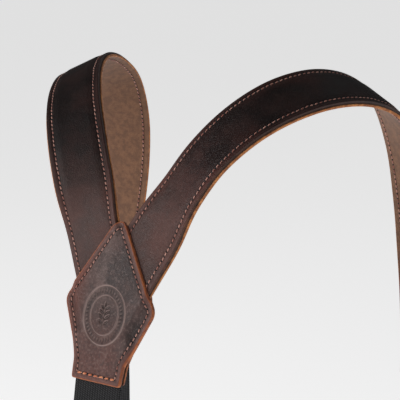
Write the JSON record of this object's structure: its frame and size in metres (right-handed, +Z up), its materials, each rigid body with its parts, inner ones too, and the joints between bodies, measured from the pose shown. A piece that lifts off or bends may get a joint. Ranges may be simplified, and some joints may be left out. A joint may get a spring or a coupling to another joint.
{
  "type": "leather suspenders",
  "caption": "Y-back leather suspenders: two lined straps sewn under a shaped back patch, with elastic webbing, sliders and trouser clips.",
  "frame": {"origin": "midway between the two straps where they cross the tops of the shoulders, at the height of the straps' middle line there", "axes": "+Z up, +Y the way the wearer faces, +X the wearer's right"},
  "size_m": [0.312, 0.2092, 0.4648],
  "materials": {
    "strap_leather": "dark brown waxed leather, fine grain, satin",
    "lining_leather": "tan lining leather with raw edges, matt",
    "patch_leather": "thick embossed brown leather, satin",
    "elastic_webbing": "black ribbed elastic webbing, matt",
    "plated_steel": "nickel-plated pressed steel",
    "grip_rubber": "matt black ribbed rubber"
  },
  "bodies": {
    "yoke_and_straps": {"yoke_patch": "patch_leather", "yoke_backing": "lining_leather", "strap_left_face": "strap_leather", "strap_left_lining": "lining_leather", "strap_right_face": "strap_leather", "strap_right_lining": "lining_leather", "front_left_strap_webbing": "elastic_webbing", "front_right_strap_webbing": "elastic_webbing", "back_strap_webbing": "elastic_webbing"},
    "front_left_slider": {"front_left_slider": "plated_steel"},
    "front_left_loop": {"front_left_loop_webbing": "elastic_webbing"},
    "front_left_bail": {"front_left_bail": "plated_steel"},
    "front_left_clip": {"front_left_clip_base": "plated_steel", "front_left_clip_pin": "plated_steel", "front_left_base_pad": "grip_rubber"},
    "front_left_lever": {"front_left_clip_lever": "plated_steel", "front_left_lever_pad": "grip_rubber"},
    "front_right_slider": {"front_right_slider": "plated_steel"},
    "front_right_loop": {"front_right_loop_webbing": "elastic_webbing"},
    "front_right_bail": {"front_right_bail": "plated_steel"},
    "front_right_clip": {"front_right_clip_base": "plated_steel", "front_right_clip_pin": "plated_steel", "front_right_base_pad": "grip_rubber"},
    "front_right_lever": {"front_right_clip_lever": "plated_steel", "front_right_lever_pad": "grip_rubber"},
    "back_slider": {"back_slider": "plated_steel"},
    "back_loop": {"back_loop_webbing": "elastic_webbing"},
    "back_bail": {"back_bail": "plated_steel"},
    "back_clip": {"back_clip_base": "plated_steel", "back_clip_pin": "plated_steel", "back_base_pad": "grip_rubber"},
    "back_lever": {"back_clip_lever": "plated_steel", "back_lever_pad": "grip_rubber"}
  },
  "joints": [
    {"name": "front_left_slider_slide", "type": "slide", "parent": "yoke_and_straps", "child": "front_left_slider", "axis": [0, 0, 1], "range_m": [-0.09, 0.04], "deforming": ["front_left_strap_webbing"]},
    {"name": "front_left_loop_slide", "type": "slide", "parent": "front_left_slider", "child": "front_left_loop", "axis": [0, 0, 1], "range_m": [-0.02, 0.045], "deforming": ["front_left_loop_webbing"]},
    {"name": "front_left_bail_hinge", "type": "hinge", "parent": "front_left_loop", "child": "front_left_bail", "pos_m": [-0.134, 0.07255, -0.395], "axis": [1, 0, 0], "range_deg": [-30, 30]},
    {"name": "front_left_clip_hinge", "type": "hinge", "parent": "front_left_bail", "child": "front_left_clip", "pos_m": [-0.134, 0.07255, -0.409], "axis": [1, 0, 0], "range_deg": [-40, 40]},
    {"name": "front_left_lever_hinge", "type": "hinge", "parent": "front_left_clip", "child": "front_left_lever", "pos_m": [-0.134, 0.07475, -0.4215], "axis": [1, 0, 0], "range_deg": [0, 100]},
    {"name": "front_right_slider_slide", "type": "slide", "parent": "yoke_and_straps", "child": "front_right_slider", "axis": [0, 0, 1], "range_m": [-0.09, 0.04], "deforming": ["front_right_strap_webbing"]},
    {"name": "front_right_loop_slide", "type": "slide", "parent": "front_right_slider", "child": "front_right_loop", "axis": [0, 0, 1], "range_m": [-0.02, 0.045], "deforming": ["front_right_loop_webbing"]},
    {"name": "front_right_bail_hinge", "type": "hinge", "parent": "front_right_loop", "child": "front_right_bail", "pos_m": [0.134, 0.07255, -0.395], "axis": [1, 0, 0], "range_deg": [-30, 30]},
    {"name": "front_right_clip_hinge", "type": "hinge", "parent": "front_right_bail", "child": "front_right_clip", "pos_m": [0.134, 0.07255, -0.409], "axis": [1, 0, 0], "range_deg": [-40, 40]},
    {"name": "front_right_lever_hinge", "type": "hinge", "parent": "front_right_clip", "child": "front_right_lever", "pos_m": [0.134, 0.07475, -0.4215], "axis": [1, 0, 0], "range_deg": [0, 100]},
    {"name": "back_slider_slide", "type": "slide", "parent": "yoke_and_straps", "child": "back_slider", "axis": [0, 0, 1], "range_m": [-0.05, 0.035], "deforming": ["back_strap_webbing"]},
    {"name": "back_loop_slide", "type": "slide", "parent": "back_slider", "child": "back_loop", "axis": [0, 0, 1], "range_m": [-0.0175, 0.025], "deforming": ["back_loop_webbing"]},
    {"name": "back_bail_hinge", "type": "hinge", "parent": "back_loop", "child": "back_bail", "pos_m": [0, -0.11615, -0.365], "axis": [-1, 0, 0], "range_deg": [-30, 30]},
    {"name": "back_clip_hinge", "type": "hinge", "parent": "back_bail", "child": "back_clip", "pos_m": [0, -0.11615, -0.379], "axis": [-1, 0, 0], "range_deg": [-40, 40]},
    {"name": "back_lever_hinge", "type": "hinge", "parent": "back_clip", "child": "back_lever", "pos_m": [0, -0.11835, -0.3915], "axis": [-1, 0, 0], "range_deg": [0, 100]}
  ],
  "couplings": [
    {"joint": "front_left_loop_slide", "follows": "front_left_slider_slide", "ratio": -0.5},
    {"joint": "front_right_loop_slide", "follows": "front_right_slider_slide", "ratio": -0.5},
    {"joint": "back_loop_slide", "follows": "back_slider_slide", "ratio": -0.5}
  ]
}
